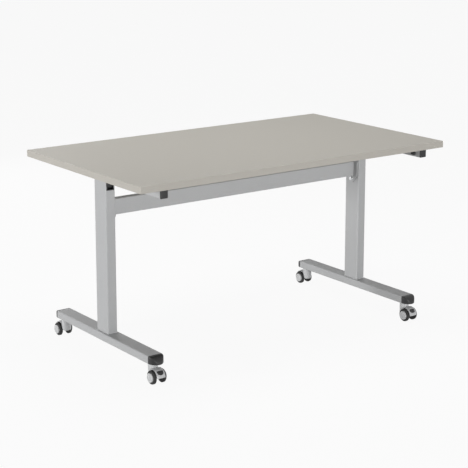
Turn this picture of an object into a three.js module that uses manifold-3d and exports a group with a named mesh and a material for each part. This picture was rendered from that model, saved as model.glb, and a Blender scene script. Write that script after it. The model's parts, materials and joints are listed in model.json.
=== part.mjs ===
// Flip top training table: a laminate board on two steel T-legs with castors.
// Millimetres, +Z up, floor at z = 0, the front (seated) side faces -Y.
// The board and its two bearer tubes tilt as one about a pivot in the column heads.
import * as THREE from "three";
import { mergeVertices } from "three/addons/utils/BufferGeometryUtils.js";
import Module from "manifold-3d";

const wasm = await Module();
wasm.setup();

// Overall sizes
const TABLE_LENGTH = 1400;
const TABLE_DEPTH = 800;
const TABLE_HEIGHT = 730;
const FIT = 0.3; // gap left between two pieces that touch or slide

// Board and its edge band
const BOARD_THICK = 25;
const BAND_THICK = 2;
const BOARD_CORNER = 3;

// Bearer tubes under the board
const ARM_SIZE = 30;
const ARM_WALL = 2;
const ARM_CORNER = 3;
const ARM_INSET = 12; // bearer's end behind the board's edge
const ARM_CAP_PROUD = 5;
const ARM_CAP_PLUG = 12;

// Columns, standing midway along the feet
const LEG_INSET = 100; // leg's middle plane from the board's end
const COLUMN_WIDTH = 40;
const COLUMN_DEPTH = 80;
const COLUMN_WALL = 2.5;
const COLUMN_CORNER = 5;
const COLUMN_HEAD_GAP = 3; // from the column's rim up to the bearer
const NOTCH_WIDTH = 30;
const NOTCH_DEPTH = 32;

// Feet
const FOOT_WIDTH = 60;
const FOOT_HEIGHT = 30;
const FOOT_WALL = 2.5;
const FOOT_CORNER = 5;
const FOOT_LENGTH = 644;
const FOOT_CAP_PROUD = 30;
const FOOT_CAP_CLOSE = 84; // degrees of the quarter round that the cap runs through to its tip
const FOOT_CAP_PLUG = 7;

// Cross beam with an end plate and a bolt at each column
const BEAM_HEIGHT = 60;
const BEAM_DEPTH = 30;
const BEAM_WALL = 2;
const BEAM_CORNER = 4;
const BEAM_DROP = 130; // beam's top below the board's upper face
const PLATE_THICK = 5;
const PLATE_WIDTH = 68;
const PLATE_TIP_WIDTH = 14;
const PLATE_DROP = 28; // how far the tip hangs below the beam
const BOLT_DROP = 13;
const BOLT_FLATS = 13;
const BOLT_HEAD = 5.5;
const BOLT_SHANK = 8;

// Tilting joint in the column head
const PIVOT_Y = -24;
const PIVOT_DROP = 20; // pivot axis below the bearer's underside
const PIN_DIAMETER = 10;
const LUG_WIDTH = 22;
const LUG_RADIUS = 12;
const BLOCK_DEEP = 80; // how far the pivot block reaches down from the bearer
const SLOT_SIDE = 0.4;

// Slide bolt in each bearer: finger trigger, long bolt, nylon guide and a keeper fixed to the column.
// It is drawn here with the bolt pulled clear, so that the top is free to tilt.
const LATCH_TRAVEL = 12;
const ROD_DIAMETER = 8;
const ROD_BLOCK = 16;
const ROD_BLOCK_SIZE = 12;
const TRIGGER_SETBACK = 34; // from the bearer's front end
const TRIGGER_LENGTH = 22;
const TRIGGER_HEIGHT = 16;
const TRIGGER_PROUD = 7;
const NECK_LENGTH = 8;
const NECK_HEIGHT = 6;
const KEEPER_Y = 22;
const KEEPER_THICK = 5;
const KEEPER_WIDTH = 16;
const KEEPER_RISE = 23; // above the bearer's underside
const KEEPER_ROOT = 25; // below the bearer's underside
const KEEPER_SWEEP = 14; // slot left behind the keeper for the swing
const GUIDE_Y = -70;
const GUIDE_LENGTH = 20;

// Twin-wheel castors
const CASTOR_HEIGHT = 72;
const STEM_SETBACK = 14; // swivel axis from the foot's end
const STEM_DIAMETER = 12;
const STEM_LENGTH = 25;
const BARREL_DIAMETER = 36;
const BARREL_BOTTOM = 24;
const TRAIL = 24; // axle behind the swivel axis
const WHEEL_RADIUS = 25;
const WHEEL_INNER = 16; // wheel's inner face from the castor's middle plane
const WHEEL_WIDTH = 10;
const WHEEL_SHOULDER = 3.5; // tread's round to the outer face
const WHEEL_WALL = 3; // wheel's inner wall, behind the disc
const WHEEL_SIDES = 22;
const HUB_RADIUS = 17;
const HUB_PROUD = 6.5;
const AXLE_DIAMETER = 6;
const BOSS_DIAMETER = 16;
const WEB_HALF = 6;
const WHEEL_GAP = 0.8;
const FENDER_THICK = 2.6;
const FENDER_HALF = 16.5;
const FENDER_FRONT = 177; // degrees about the axle, 180 points along the trail
const FENDER_BACK = 62;
const LEVER_HALF = 12;
const LEVER_TOP = 127;
const LEVER_SHOULDER = 137; // where the pad's sides run into its round tip
const LEVER_END = 155;
const LEVER_LIFT = 10; // degrees the free lever stands off the hood
const LEVER_KNUCKLE = 2.2;
const LEVER_PIN = 0.8;

// Lengths and heights that follow from the sizes above
const ARM_LENGTH = TABLE_DEPTH - 2 * ARM_INSET;
const LEG_X = TABLE_LENGTH / 2 - LEG_INSET;
const TRIGGER_Y = TRIGGER_SETBACK - ARM_LENGTH / 2;
const STEM_Y = FOOT_LENGTH / 2 - STEM_SETBACK;
const BOARD_BOTTOM = TABLE_HEIGHT - BOARD_THICK;
const ARM_BOTTOM = BOARD_BOTTOM - ARM_SIZE;
const ARM_MID = BOARD_BOTTOM - ARM_SIZE / 2;
const FOOT_BOTTOM = CASTOR_HEIGHT;
const FOOT_TOP = FOOT_BOTTOM + FOOT_HEIGHT;
const COLUMN_TOP = ARM_BOTTOM - COLUMN_HEAD_GAP;
const NOTCH_BOTTOM = COLUMN_TOP - NOTCH_DEPTH;
const PIVOT_Z = ARM_BOTTOM - PIVOT_DROP;
const BEAM_TOP = TABLE_HEIGHT - BEAM_DROP;
const BEAM_BOTTOM = BEAM_TOP - BEAM_HEIGHT;
const BEAM_MID = BEAM_TOP - BEAM_HEIGHT / 2;
const COLUMN_INNER = LEG_X - COLUMN_WIDTH / 2;
const ARM_INNER = ARM_SIZE / 2;
const FENDER_RADIUS = WHEEL_RADIUS + WHEEL_GAP + FENDER_THICK;

// Finishes
const LAMINATE = { color: 0xb7b4ab, roughness: 0.55, metalness: 0.0 };
const SILVER = { color: 0xb9babb, roughness: 0.42, metalness: 0.35 };
const BLACK_PLASTIC = { color: 0x2b2b2c, roughness: 0.5, metalness: 0.0 };
const BLACK_STEEL = { color: 0x242425, roughness: 0.45, metalness: 0.3 };
const GREY_PLASTIC = { color: 0xbcbdbd, roughness: 0.5, metalness: 0.0 };
const RUBBER = { color: 0x303031, roughness: 0.8, metalness: 0.0 };
const ZINC = { color: 0xc9cbcd, roughness: 0.25, metalness: 0.9 };

// Solids

function solid(geometry) {
  const bare = geometry.index ? geometry.toNonIndexed() : geometry.clone();
  bare.deleteAttribute("normal");
  bare.deleteAttribute("uv");
  const welded = mergeVertices(bare, 1e-4);
  const mesh = new wasm.Mesh({
    numProp: 3,
    vertProperties: new Float32Array(welded.attributes.position.array),
    triVerts: new Uint32Array(welded.index.array),
  });
  return new wasm.Manifold(mesh);
}

function surface(manifold) {
  const mesh = manifold.getMesh();
  const geometry = new THREE.BufferGeometry();
  geometry.setAttribute("position", new THREE.BufferAttribute(new Float32Array(mesh.vertProperties), 3));
  geometry.setIndex(new THREE.BufferAttribute(new Uint32Array(mesh.triVerts), 1));
  const flat = geometry.toNonIndexed();
  flat.computeVertexNormals();
  return flat;
}

function joined(...geometries) {
  return surface(geometries.map(solid).reduce((all, one) => all.add(one)));
}

function cut(geometry, ...tools) {
  return surface(tools.map(solid).reduce((all, one) => all.subtract(one), solid(geometry)));
}

function common(a, b) {
  return surface(solid(a).intersect(solid(b)));
}

// A box given by its low and high corners
function box(x0, x1, y0, y1, z0, z1) {
  const geometry = new THREE.BoxGeometry(x1 - x0, y1 - y0, z1 - z0);
  return geometry.translate((x0 + x1) / 2, (y0 + y1) / 2, (z0 + z1) / 2);
}

function rodX(radius, x0, x1, y, z, sides = 16) {
  const geometry = new THREE.CylinderGeometry(radius, radius, x1 - x0, sides);
  return geometry.rotateZ(Math.PI / 2).translate((x0 + x1) / 2, y, z);
}

function rodY(radius, y0, y1, x, z, sides = 12) {
  const geometry = new THREE.CylinderGeometry(radius, radius, y1 - y0, sides);
  return geometry.translate(x, (y0 + y1) / 2, z);
}

function rodZ(radius, z0, z1, x, y, sides = 16) {
  const geometry = new THREE.CylinderGeometry(radius, radius, z1 - z0, sides);
  return geometry.rotateX(Math.PI / 2).translate(x, y, (z0 + z1) / 2);
}

function roundedPath(path, width, height, radius) {
  const w = width / 2 - radius;
  const h = height / 2 - radius;
  path.absarc(w, h, radius, 0, Math.PI / 2);
  path.absarc(-w, h, radius, Math.PI / 2, Math.PI);
  path.absarc(-w, -h, radius, Math.PI, 1.5 * Math.PI);
  path.absarc(w, -h, radius, 1.5 * Math.PI, 2 * Math.PI);
  path.closePath();
  return path;
}

function roundedShape(width, height, radius) {
  return roundedPath(new THREE.Shape(), width, height, radius);
}

// Rectangular tube along its own Z from 0 to length
function tube(width, height, radius, wall, length) {
  const outline = roundedShape(width, height, radius);
  const bore = roundedPath(new THREE.Path(), width - 2 * wall, height - 2 * wall, radius - wall);
  outline.holes.push(bore);
  return new THREE.ExtrudeGeometry(outline, { depth: length, bevelEnabled: false, curveSegments: 2 });
}

// Turns a geometry's own x, y, z to point along Y, Z and X
function towardsX(geometry) {
  return geometry.applyMatrix4(new THREE.Matrix4().set(0, 0, 1, 0, 1, 0, 0, 0, 0, 1, 0, 0, 0, 0, 0, 1));
}

// Profile drawn in (y, z), extruded along X between x0 and x1
function slabX(points, x0, x1) {
  const shape = new THREE.Shape(points.map(([y, z]) => new THREE.Vector2(y, z)));
  const geometry = new THREE.ExtrudeGeometry(shape, { depth: x1 - x0, bevelEnabled: false });
  return towardsX(geometry).translate(x0, 0, 0);
}

function arc(cy, cz, radius, from, to, steps) {
  const points = [];
  for (let i = 0; i <= steps; i += 1) {
    const a = THREE.MathUtils.degToRad(from + ((to - from) * i) / steps);
    points.push([cy + radius * Math.cos(a), cz + radius * Math.sin(a)]);
  }
  return points;
}

// Body of revolution about Z from (radius, z) pairs
function turnedZ(profile, sides) {
  return new THREE.LatheGeometry(profile.map(([r, z]) => new THREE.Vector2(r, z)), sides).rotateX(Math.PI / 2);
}

// Plug that a cap of a tube along Z pushes into the tube's bore
function capPlug(width, height, radius, wall, plug) {
  const inside = roundedShape(width - 2 * wall - 2 * FIT, height - 2 * wall - 2 * FIT, radius - wall);
  const stub = new THREE.ExtrudeGeometry(inside, { depth: plug + 1, bevelEnabled: false, curveSegments: 1 });
  return stub.translate(0, 0, -plug);
}

// Cap of a bearer's end: a flat flange with softened edges
function bearerCap() {
  const soft = 1.5;
  const flange = new THREE.ExtrudeGeometry(roundedShape(ARM_SIZE, ARM_SIZE, ARM_CORNER), {
    depth: 2 * (ARM_CAP_PROUD - soft),
    bevelEnabled: true,
    bevelThickness: soft,
    bevelSize: soft * 0.8,
    bevelOffset: -soft * 0.8,
    bevelSegments: 1,
    curveSegments: 2,
  }).translate(0, 0, soft - ARM_CAP_PROUD);
  const outer = common(flange, box(-ARM_SIZE, ARM_SIZE, -ARM_SIZE, ARM_SIZE, FIT, 2 * ARM_CAP_PROUD));
  const plug = capPlug(ARM_SIZE, ARM_SIZE, ARM_CORNER, ARM_WALL, ARM_CAP_PLUG);
  return joined(outer, plug).rotateX(Math.PI / 2);
}

// Toe cap of a foot: the tube's outline shrinks along a quarter round towards the middle of its lower edge
function toeCap() {
  const toe = new THREE.ExtrudeGeometry(roundedShape(FOOT_WIDTH, FOOT_HEIGHT, FOOT_CORNER), {
    depth: 1,
    steps: 6,
    bevelEnabled: false,
    curveSegments: 2,
  });
  const close = THREE.MathUtils.degToRad(FOOT_CAP_CLOSE);
  const at = toe.attributes.position;
  for (let i = 0; i < at.count; i += 1) {
    const turn = at.getZ(i) * close;
    const share = Math.cos(turn);
    const out = FIT + ((FOOT_CAP_PROUD - FIT) * Math.sin(turn)) / Math.sin(close);
    const rise = at.getY(i) + FOOT_HEIGHT / 2;
    at.setXYZ(i, at.getX(i) * share, rise * share - FOOT_HEIGHT / 2, out);
  }
  const plug = capPlug(FOOT_WIDTH, FOOT_HEIGHT, FOOT_CORNER, FOOT_WALL, FOOT_CAP_PLUG);
  return joined(toe, plug).rotateX(Math.PI / 2);
}

const table = new THREE.Group();
table.name = "flip_top_training_table";

function add(parent, name, geometry, finish) {
  const mesh = new THREE.Mesh(geometry, new THREE.MeshStandardMaterial(finish));
  mesh.name = name;
  parent.add(mesh);
  return mesh;
}

// Board and edge band
const core = roundedShape(
  TABLE_LENGTH - 2 * (BAND_THICK + FIT),
  TABLE_DEPTH - 2 * (BAND_THICK + FIT),
  BOARD_CORNER - BAND_THICK,
);
const boardGeometry = new THREE.ExtrudeGeometry(core, {
  depth: BOARD_THICK,
  bevelEnabled: false,
  curveSegments: 2,
});
add(table, "table_top", boardGeometry.translate(0, 0, BOARD_BOTTOM), LAMINATE);
const bandGeometry = tube(TABLE_LENGTH, TABLE_DEPTH, BOARD_CORNER, BAND_THICK, BOARD_THICK);
add(table, "edge_band", bandGeometry.translate(0, 0, BOARD_BOTTOM), LAMINATE);

// Bearer tube with the keeper slot in its underside and the trigger slot in its inward face.
// The side argument is -1 for the left end of the table and +1 for the right end.
function bearer(side) {
  const body = tube(ARM_SIZE, ARM_SIZE, ARM_CORNER, ARM_WALL, ARM_LENGTH);
  body.rotateX(Math.PI / 2).translate(0, ARM_LENGTH / 2, ARM_MID);
  const keeperSlot = box(
    -KEEPER_WIDTH / 2 - 1,
    KEEPER_WIDTH / 2 + 1,
    KEEPER_Y - KEEPER_THICK / 2 - 1,
    KEEPER_Y + KEEPER_THICK / 2 + KEEPER_SWEEP,
    ARM_BOTTOM - 1,
    ARM_BOTTOM + ARM_WALL + 1,
  );
  const wallIn = -side * (ARM_INNER - ARM_WALL - 1);
  const wallOut = -side * (ARM_INNER + 1);
  const triggerSlot = box(
    Math.min(wallIn, wallOut),
    Math.max(wallIn, wallOut),
    TRIGGER_Y - NECK_LENGTH / 2 - FIT,
    TRIGGER_Y + NECK_LENGTH / 2 + LATCH_TRAVEL + FIT,
    ARM_MID - NECK_HEIGHT / 2 - FIT,
    ARM_MID + NECK_HEIGHT / 2 + FIT,
  );
  return cut(body, keeperSlot, triggerSlot);
}

function hingeLug() {
  const profile = [
    [PIVOT_Y - LUG_RADIUS, ARM_BOTTOM - FIT],
    ...arc(PIVOT_Y, PIVOT_Z, LUG_RADIUS, 180, 360, 12),
    [PIVOT_Y + LUG_RADIUS, ARM_BOTTOM - FIT],
  ];
  const body = slabX(profile, -LUG_WIDTH / 2, LUG_WIDTH / 2);
  return cut(body, rodX(PIN_DIAMETER / 2 + FIT, -LUG_WIDTH, LUG_WIDTH, PIVOT_Y, PIVOT_Z));
}

function latchBolt() {
  const blockHalf = ROD_BLOCK_SIZE / 2;
  const head = box(
    -blockHalf,
    blockHalf,
    TRIGGER_Y - ROD_BLOCK / 2,
    TRIGGER_Y + ROD_BLOCK / 2,
    ARM_MID - blockHalf,
    ARM_MID + blockHalf,
  );
  const tip = KEEPER_Y - KEEPER_THICK / 2 - 2;
  const bar = rodY(ROD_DIAMETER / 2, TRIGGER_Y, tip - 2, 0, ARM_MID);
  const nose = new THREE.CylinderGeometry(ROD_DIAMETER / 2 - 1.5, ROD_DIAMETER / 2, 2, 12);
  nose.translate(0, tip - 1, ARM_MID);
  const socket = box(
    -ROD_BLOCK_SIZE,
    ROD_BLOCK_SIZE,
    TRIGGER_Y - NECK_LENGTH / 2 - FIT,
    TRIGGER_Y + NECK_LENGTH / 2 + FIT,
    ARM_MID - NECK_HEIGHT / 2 - FIT,
    ARM_MID + NECK_HEIGHT / 2 + FIT,
  );
  return cut(joined(head, bar, nose), socket);
}

function latchGuide() {
  const half = ARM_SIZE / 2 - ARM_WALL - FIT;
  const block = box(-half, half, GUIDE_Y, GUIDE_Y + GUIDE_LENGTH, ARM_MID - half, ARM_MID + half);
  return cut(block, rodY(ROD_DIAMETER / 2 + FIT, GUIDE_Y - 1, GUIDE_Y + GUIDE_LENGTH + 1, 0, ARM_MID));
}

// Finger pad on the bearer's inward face, with a neck through the slot into the rod's head
function trigger(side) {
  const soft = 1.5;
  const pad = new THREE.ExtrudeGeometry(roundedShape(TRIGGER_LENGTH, TRIGGER_HEIGHT, 5), {
    depth: TRIGGER_PROUD - FIT - 2 * soft,
    bevelEnabled: true,
    bevelThickness: soft,
    bevelSize: soft,
    bevelOffset: -soft,
    bevelSegments: 1,
    curveSegments: 2,
  }).translate(0, 0, ARM_INNER + FIT + soft);
  const reach = ROD_BLOCK_SIZE / 2;
  const neck = box(-NECK_LENGTH / 2, NECK_LENGTH / 2, -NECK_HEIGHT / 2, NECK_HEIGHT / 2, -reach, ARM_INNER + 3);
  const turned = towardsX(joined(pad, neck));
  if (side > 0) {
    turned.rotateZ(Math.PI);
  }
  return turned.translate(0, TRIGGER_Y, ARM_MID);
}

// Pieces fixed in the column head

function keeper() {
  const plate = box(
    -KEEPER_WIDTH / 2,
    KEEPER_WIDTH / 2,
    KEEPER_Y - KEEPER_THICK / 2,
    KEEPER_Y + KEEPER_THICK / 2,
    ARM_BOTTOM - KEEPER_ROOT,
    ARM_BOTTOM + KEEPER_RISE,
  );
  return cut(plate, rodY(ROD_DIAMETER / 2 + 2 * FIT, KEEPER_Y - 20, KEEPER_Y + 20, 0, ARM_MID));
}

// Pivot block: fills the column head, bears the pin, and rises behind it as the bearer's rest
function pivotBlock() {
  const inX = COLUMN_WIDTH / 2 - COLUMN_WALL - FIT;
  const inY = COLUMN_DEPTH / 2 - COLUMN_WALL - FIT;
  const noseY = COLUMN_DEPTH / 2;
  const bottom = ARM_BOTTOM - BLOCK_DEEP;
  const top = ARM_BOTTOM - FIT;
  const crown = arc(PIVOT_Y, PIVOT_Z, PIVOT_DROP - FIT, 90, 155, 6);
  const profile = (front, low) => [
    [front, low],
    [inY, low],
    [inY, top],
    ...crown,
    [front, crown[crown.length - 1][1]],
  ];
  const bodyShape = roundedShape(2 * inX, 2 * inY, COLUMN_CORNER - COLUMN_WALL);
  const core = new THREE.ExtrudeGeometry(bodyShape, {
    depth: BLOCK_DEEP + 10,
    bevelEnabled: false,
    curveSegments: 1,
  });
  core.translate(0, 0, bottom - 5);
  const limits = slabX(profile(-noseY - 5, bottom), -COLUMN_WIDTH, COLUMN_WIDTH);
  const noseHalf = NOTCH_WIDTH / 2 - FIT;
  const nose = slabX(profile(-noseY, NOTCH_BOTTOM + FIT), -noseHalf, noseHalf);
  const slotHalf = LUG_WIDTH / 2 + SLOT_SIDE;
  const slot = box(
    -slotHalf,
    slotHalf,
    -COLUMN_DEPTH,
    PIVOT_Y + LUG_RADIUS + SLOT_SIDE,
    PIVOT_Z - LUG_RADIUS - FIT,
    ARM_BOTTOM + 10,
  );
  const bore = rodX(PIN_DIAMETER / 2 + FIT, -COLUMN_WIDTH, COLUMN_WIDTH, PIVOT_Y, PIVOT_Z);
  const pocket = box(
    -KEEPER_WIDTH / 2 - FIT,
    KEEPER_WIDTH / 2 + FIT,
    KEEPER_Y - KEEPER_THICK / 2 - FIT,
    KEEPER_Y + KEEPER_THICK / 2 + FIT,
    ARM_BOTTOM - KEEPER_ROOT - FIT,
    ARM_BOTTOM + 10,
  );
  return cut(joined(common(core, limits), nose), slot, bore, pocket);
}

function pivotPin() {
  const half = COLUMN_WIDTH / 2 - COLUMN_WALL - 2 * FIT;
  return rodX(PIN_DIAMETER / 2, -half, half, PIVOT_Y, PIVOT_Z);
}

// Column with its front wall cut away at the head and a bolt hole in the inner wall
function column(side) {
  const body = tube(COLUMN_WIDTH, COLUMN_DEPTH, COLUMN_CORNER, COLUMN_WALL, COLUMN_TOP - FOOT_TOP - FIT);
  body.translate(0, 0, FOOT_TOP + FIT);
  const notch = box(
    -NOTCH_WIDTH / 2,
    NOTCH_WIDTH / 2,
    -COLUMN_DEPTH,
    -COLUMN_DEPTH / 2 + COLUMN_WALL + 1,
    NOTCH_BOTTOM,
    COLUMN_TOP + 5,
  );
  const near = -side * (COLUMN_WIDTH / 2 - COLUMN_WALL - 2);
  const far = -side * (COLUMN_WIDTH / 2 + 2);
  const hole = rodX(
    BOLT_SHANK / 2 + FIT,
    Math.min(near, far),
    Math.max(near, far),
    0,
    BEAM_BOTTOM - BOLT_DROP,
  );
  return cut(body, notch, hole);
}

// Beam between the columns

function beam() {
  const half = COLUMN_INNER - PLATE_THICK - 2 * FIT;
  const body = tube(BEAM_HEIGHT, BEAM_DEPTH, BEAM_CORNER, BEAM_WALL, 2 * half);
  return body.rotateY(Math.PI / 2).translate(-half, 0, BEAM_MID);
}

function endPlate() {
  const w = PLATE_WIDTH / 2;
  const t = PLATE_TIP_WIDTH / 2;
  const profile = [
    [-w, BEAM_TOP],
    [-w, BEAM_BOTTOM],
    [-t, BEAM_BOTTOM - PLATE_DROP],
    [t, BEAM_BOTTOM - PLATE_DROP],
    [w, BEAM_BOTTOM],
    [w, BEAM_TOP],
  ];
  const plate = slabX(profile, -PLATE_THICK / 2, PLATE_THICK / 2);
  const hole = rodX(BOLT_SHANK / 2 + FIT, -PLATE_THICK, PLATE_THICK, 0, BEAM_BOTTOM - BOLT_DROP);
  return cut(plate, hole);
}

// Hex bolt through the plate and the column wall, head towards the middle of the table
function plateBolt(side) {
  const z = BEAM_BOTTOM - BOLT_DROP;
  const seat = PLATE_THICK + 2 * FIT;
  const head = rodX(BOLT_FLATS / Math.sqrt(3), seat, seat + BOLT_HEAD, 0, z, 6);
  const shank = rodX(BOLT_SHANK / 2, -COLUMN_WALL - 4, seat + 1, 0, z);
  const bolt = joined(head, shank).translate(COLUMN_WIDTH / 2, 0, 0);
  if (side > 0) {
    bolt.translate(0, 0, -z).rotateZ(Math.PI).translate(0, 0, z);
  }
  return bolt;
}

function foot() {
  const body = tube(FOOT_WIDTH, FOOT_HEIGHT, FOOT_CORNER, FOOT_WALL, FOOT_LENGTH);
  body.rotateX(Math.PI / 2).translate(0, FOOT_LENGTH / 2, FOOT_BOTTOM + FOOT_HEIGHT / 2);
  const low = FOOT_BOTTOM - 2;
  const high = FOOT_BOTTOM + FOOT_WALL + 2;
  const front = rodZ(STEM_DIAMETER / 2 + FIT, low, high, 0, -STEM_Y);
  const rear = rodZ(STEM_DIAMETER / 2 + FIT, low, high, 0, STEM_Y);
  return cut(body, front, rear);
}

// Castor, drawn about its swivel axis with the floor at z = 0 and the trail towards -Y

function inHood(radius, degrees) {
  const a = THREE.MathUtils.degToRad(degrees);
  return [-TRAIL + radius * Math.cos(a), WHEEL_RADIUS + radius * Math.sin(a)];
}

const leverHinge = inHood(FENDER_RADIUS - FENDER_THICK / 2, LEVER_TOP);

// Block with the brake pad's outline seen along Y: upright sides and a round tip
function padBlock(half, tipAngle) {
  const [, shoulder] = inHood(FENDER_RADIUS, LEVER_SHOULDER);
  const [, tip] = inHood(FENDER_RADIUS, tipAngle);
  const outline = new THREE.Shape();
  outline.moveTo(half, CASTOR_HEIGHT);
  outline.lineTo(-half, CASTOR_HEIGHT);
  outline.absellipse(0, shoulder, half, shoulder - tip, Math.PI, 2 * Math.PI, false, 0);
  outline.closePath();
  const depth = TRAIL + 2 * FENDER_RADIUS;
  const block = new THREE.ExtrudeGeometry(outline, { depth, bevelEnabled: false, curveSegments: 6 });
  return block.rotateX(Math.PI / 2);
}

function castorBody() {
  const r = BARREL_DIAMETER / 2;
  const top = CASTOR_HEIGHT - FIT;
  const barrel = turnedZ(
    [
      [0, BARREL_BOTTOM],
      [r - 4, BARREL_BOTTOM],
      [r, BARREL_BOTTOM + 5],
      [r, top - 2],
      [r - 2, top],
      [STEM_DIAMETER / 2, top],
      [STEM_DIAMETER / 2, top + STEM_LENGTH],
      [0, top + STEM_LENGTH],
    ],
    16,
  );
  const hoodProfile = [
    ...arc(-TRAIL, WHEEL_RADIUS, FENDER_RADIUS, FENDER_FRONT, FENDER_BACK, 10),
    [0, WHEEL_RADIUS + 10],
    [0, BARREL_BOTTOM],
    ...arc(-TRAIL, WHEEL_RADIUS, BOSS_DIAMETER / 2, 300, 200, 5),
  ];
  const hood = slabX(hoodProfile, -FENDER_HALF, FENDER_HALF);
  const pocketRadius = WHEEL_RADIUS + WHEEL_GAP;
  const leftPocket = rodX(pocketRadius, -40, -WEB_HALF, -TRAIL, WHEEL_RADIUS, 24);
  const rightPocket = rodX(pocketRadius, WEB_HALF, 40, -TRAIL, WHEEL_RADIUS, 24);
  const windowProfile = [
    ...arc(-TRAIL, WHEEL_RADIUS, FENDER_RADIUS + 4, LEVER_TOP, LEVER_END + 3, 4),
    ...arc(-TRAIL, WHEEL_RADIUS, WHEEL_RADIUS - 1.5, LEVER_END + 3, LEVER_TOP, 4),
  ];
  const windowHalf = LEVER_HALF + 2 * FIT;
  const window = common(slabX(windowProfile, -windowHalf, windowHalf), padBlock(windowHalf, LEVER_END + 3));
  const knuckle = rodX(LEVER_KNUCKLE + 0.5, -windowHalf, windowHalf, ...leverHinge, 8);
  const pinHole = rodX(LEVER_PIN + FIT, -LEVER_HALF - 3, LEVER_HALF + 3, ...leverHinge, 8);
  const shell = cut(joined(barrel, hood), leftPocket, rightPocket, window, knuckle, pinHole);
  const axleHalf = WHEEL_INNER + WHEEL_WIDTH + HUB_PROUD - 2;
  const axle = rodX(AXLE_DIAMETER / 2, -axleHalf, axleHalf, -TRAIL, WHEEL_RADIUS, 12);
  const bossHalf = WHEEL_INNER - WHEEL_GAP;
  const boss = rodX(BOSS_DIAMETER / 2, -bossHalf, bossHalf, -TRAIL, WHEEL_RADIUS, 10);
  return joined(shell, boss, axle);
}

// Brake lever, flush with the hood when pressed and standing off it when free
function brakeLever() {
  const outer = arc(-TRAIL, WHEEL_RADIUS, FENDER_RADIUS, LEVER_TOP, LEVER_END, 4);
  const inner = arc(-TRAIL, WHEEL_RADIUS, FENDER_RADIUS - 2.2, LEVER_END, LEVER_TOP, 4);
  const flap = common(slabX([...outer, ...inner], -LEVER_HALF, LEVER_HALF), padBlock(LEVER_HALF, LEVER_END));
  const knuckle = rodX(LEVER_KNUCKLE, -LEVER_HALF, LEVER_HALF, ...leverHinge, 8);
  const pin = rodX(LEVER_PIN, -LEVER_HALF - 2.5, LEVER_HALF + 2.5, ...leverHinge, 8);
  const [y, z] = leverHinge;
  const lift = -THREE.MathUtils.degToRad(LEVER_LIFT);
  return joined(flap, knuckle, pin).translate(0, -y, -z).rotateX(lift).translate(0, y, z);
}

// Wheels are turned about X, their outer face towards +X
function turnedX(profile, sides) {
  const points = profile.map(([r, x]) => new THREE.Vector2(r, x));
  return new THREE.LatheGeometry(points, sides).rotateZ(-Math.PI / 2);
}

// Pale disc pressed into the wheel's outer face, with a blind bore for the axle's end
function hub() {
  const bore = AXLE_DIAMETER / 2 + FIT;
  const inside = WHEEL_INNER + WHEEL_WALL + FIT;
  const rim = WHEEL_INNER + WHEEL_WIDTH;
  const face = rim + HUB_PROUD;
  const floor = face - 2 + FIT;
  return turnedX(
    [
      [0, floor],
      [bore, floor],
      [bore, inside],
      [HUB_RADIUS, inside],
      [HUB_RADIUS, face - 2.5],
      [HUB_RADIUS - 1.5, face - 1.2],
      [HUB_RADIUS - 8, face - 0.3],
      [0, face],
    ],
    WHEEL_SIDES,
  );
}

// Dark wheel with a soft, round-shouldered tread and an outer face that is open for the disc
function tyre() {
  const inside = WHEEL_INNER;
  const wall = WHEEL_INNER + WHEEL_WALL;
  const rim = WHEEL_INNER + WHEEL_WIDTH;
  const bore = AXLE_DIAMETER / 2 + FIT;
  const seat = HUB_RADIUS + FIT;
  return turnedX(
    [
      [bore, inside],
      [WHEEL_RADIUS - 1, inside],
      ...arc(WHEEL_RADIUS - WHEEL_SHOULDER, rim - WHEEL_SHOULDER, WHEEL_SHOULDER, 0, 90, 2),
      [seat, rim],
      [seat, wall],
      [bore, wall],
      [bore, inside],
    ],
    WHEEL_SIDES,
  );
}

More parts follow.
